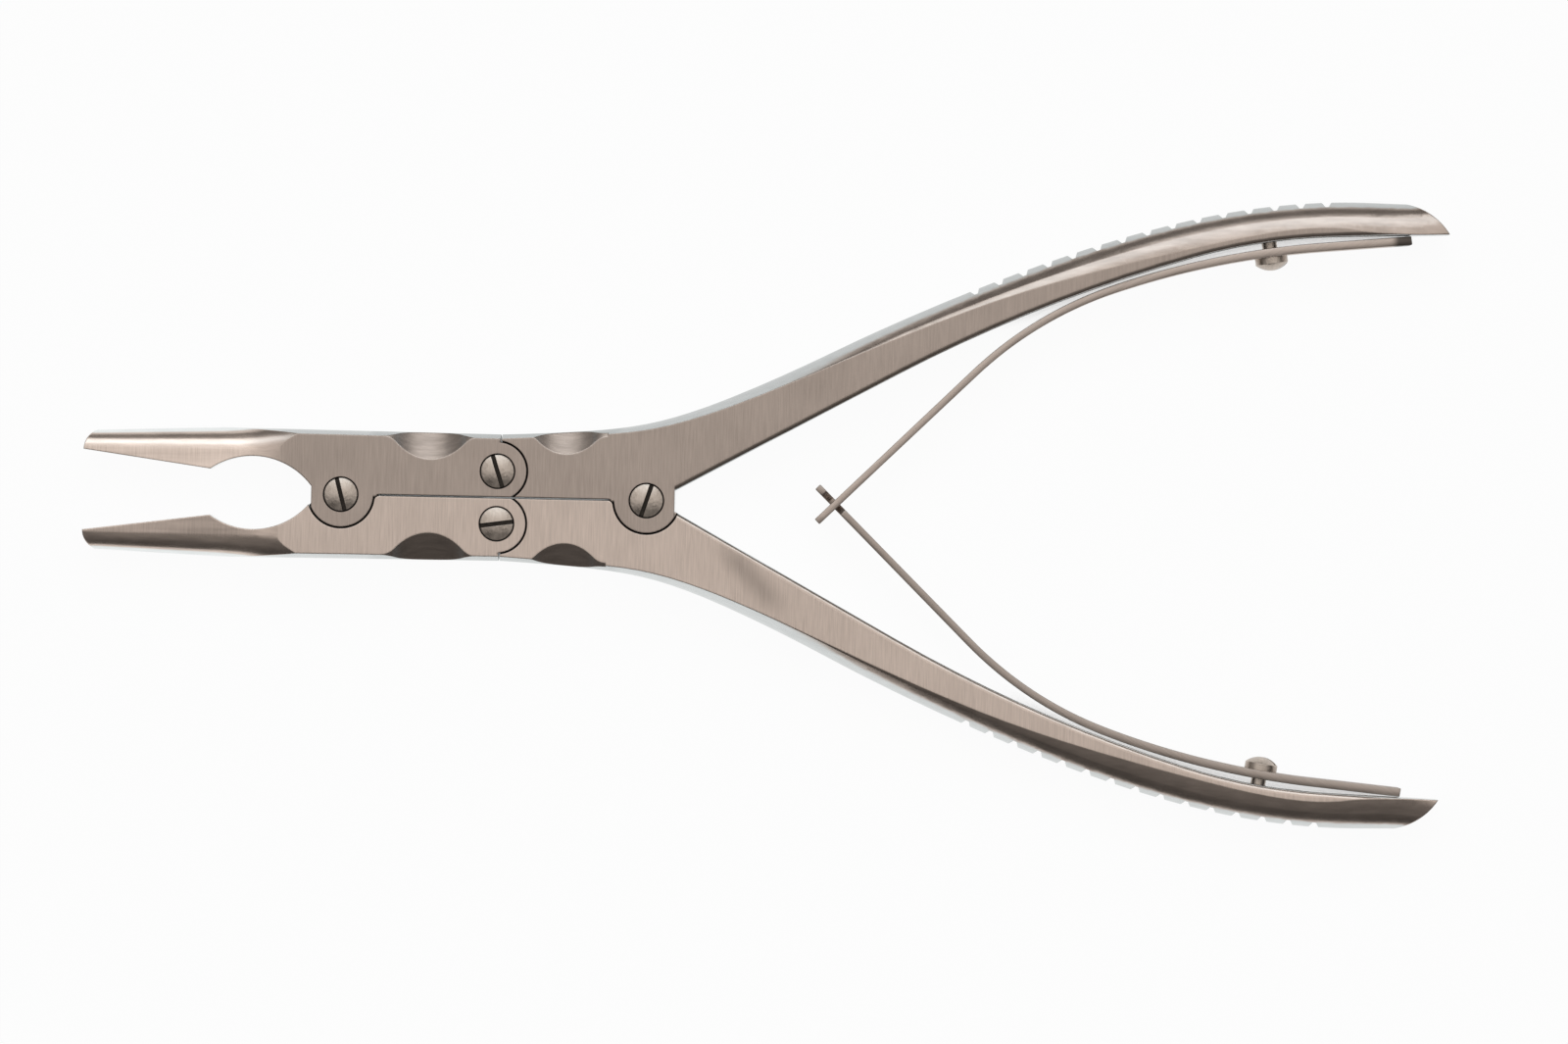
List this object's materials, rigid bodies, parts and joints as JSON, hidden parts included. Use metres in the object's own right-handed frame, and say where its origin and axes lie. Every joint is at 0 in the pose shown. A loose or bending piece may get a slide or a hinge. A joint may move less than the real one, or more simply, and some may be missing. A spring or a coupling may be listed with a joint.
{
  "type": "bone rongeur",
  "caption": "Double action bone rongeur with two spoon jaws, four pivoted levers with lap joints, and crossed leaf springs between ridged handles.",
  "frame": {"origin": "axis of the handle pivot, at the underside of the joint plates", "axes": "+X along the tool from the jaws towards the handles, +Y across it towards the upper handle, +Z through the joint plates towards the screw heads"},
  "size_m": [0.1796, 0.0826, 0.0084],
  "materials": {
    "satin_steel": "satin ground stainless steel",
    "screw_steel": "turned stainless steel, handled",
    "spring_steel": "ground spring steel"
  },
  "bodies": {
    "lower_handle_body": {"lower_handle": "satin_steel", "handle_pivot_screw": "screw_steel", "lower_link_screw": "screw_steel", "lower_spring": "spring_steel", "lower_spring_screw": "screw_steel"},
    "upper_handle_body": {"upper_handle": "satin_steel", "upper_link_screw": "screw_steel", "upper_spring": "spring_steel", "upper_spring_screw": "screw_steel"},
    "upper_jaw_body": {"upper_jaw": "satin_steel"},
    "lower_jaw_body": {"lower_jaw": "satin_steel", "jaw_pivot_screw": "screw_steel"}
  },
  "joints": [
    {"name": "handle_pivot", "type": "hinge", "parent": "lower_handle_body", "child": "upper_handle_body", "pos_m": [0, 0, 0.004], "axis": [0, 0, -1], "range_deg": [0, 18.4], "stiffness_Nm_per_rad": 2, "springref_deg": -11.46, "deforming": ["upper_spring", "lower_spring"]},
    {"name": "upper_link_pivot", "type": "hinge", "parent": "upper_handle_body", "child": "upper_jaw_body", "pos_m": [-0.0197, 0.00346, 0.004], "axis": [0, 0, 1], "range_deg": [0, 17.99]},
    {"name": "lower_link_pivot", "type": "hinge", "parent": "lower_handle_body", "child": "lower_jaw_body", "pos_m": [-0.0197, -0.00346, 0.004], "axis": [0, 0, -1], "range_deg": [0, 17.99]}
  ],
  "couplings": [
    {"joint": "upper_link_pivot", "follows": "handle_pivot", "ratio": 0.9773},
    {"joint": "lower_link_pivot", "follows": "handle_pivot", "ratio": 0.9773}
  ]
}
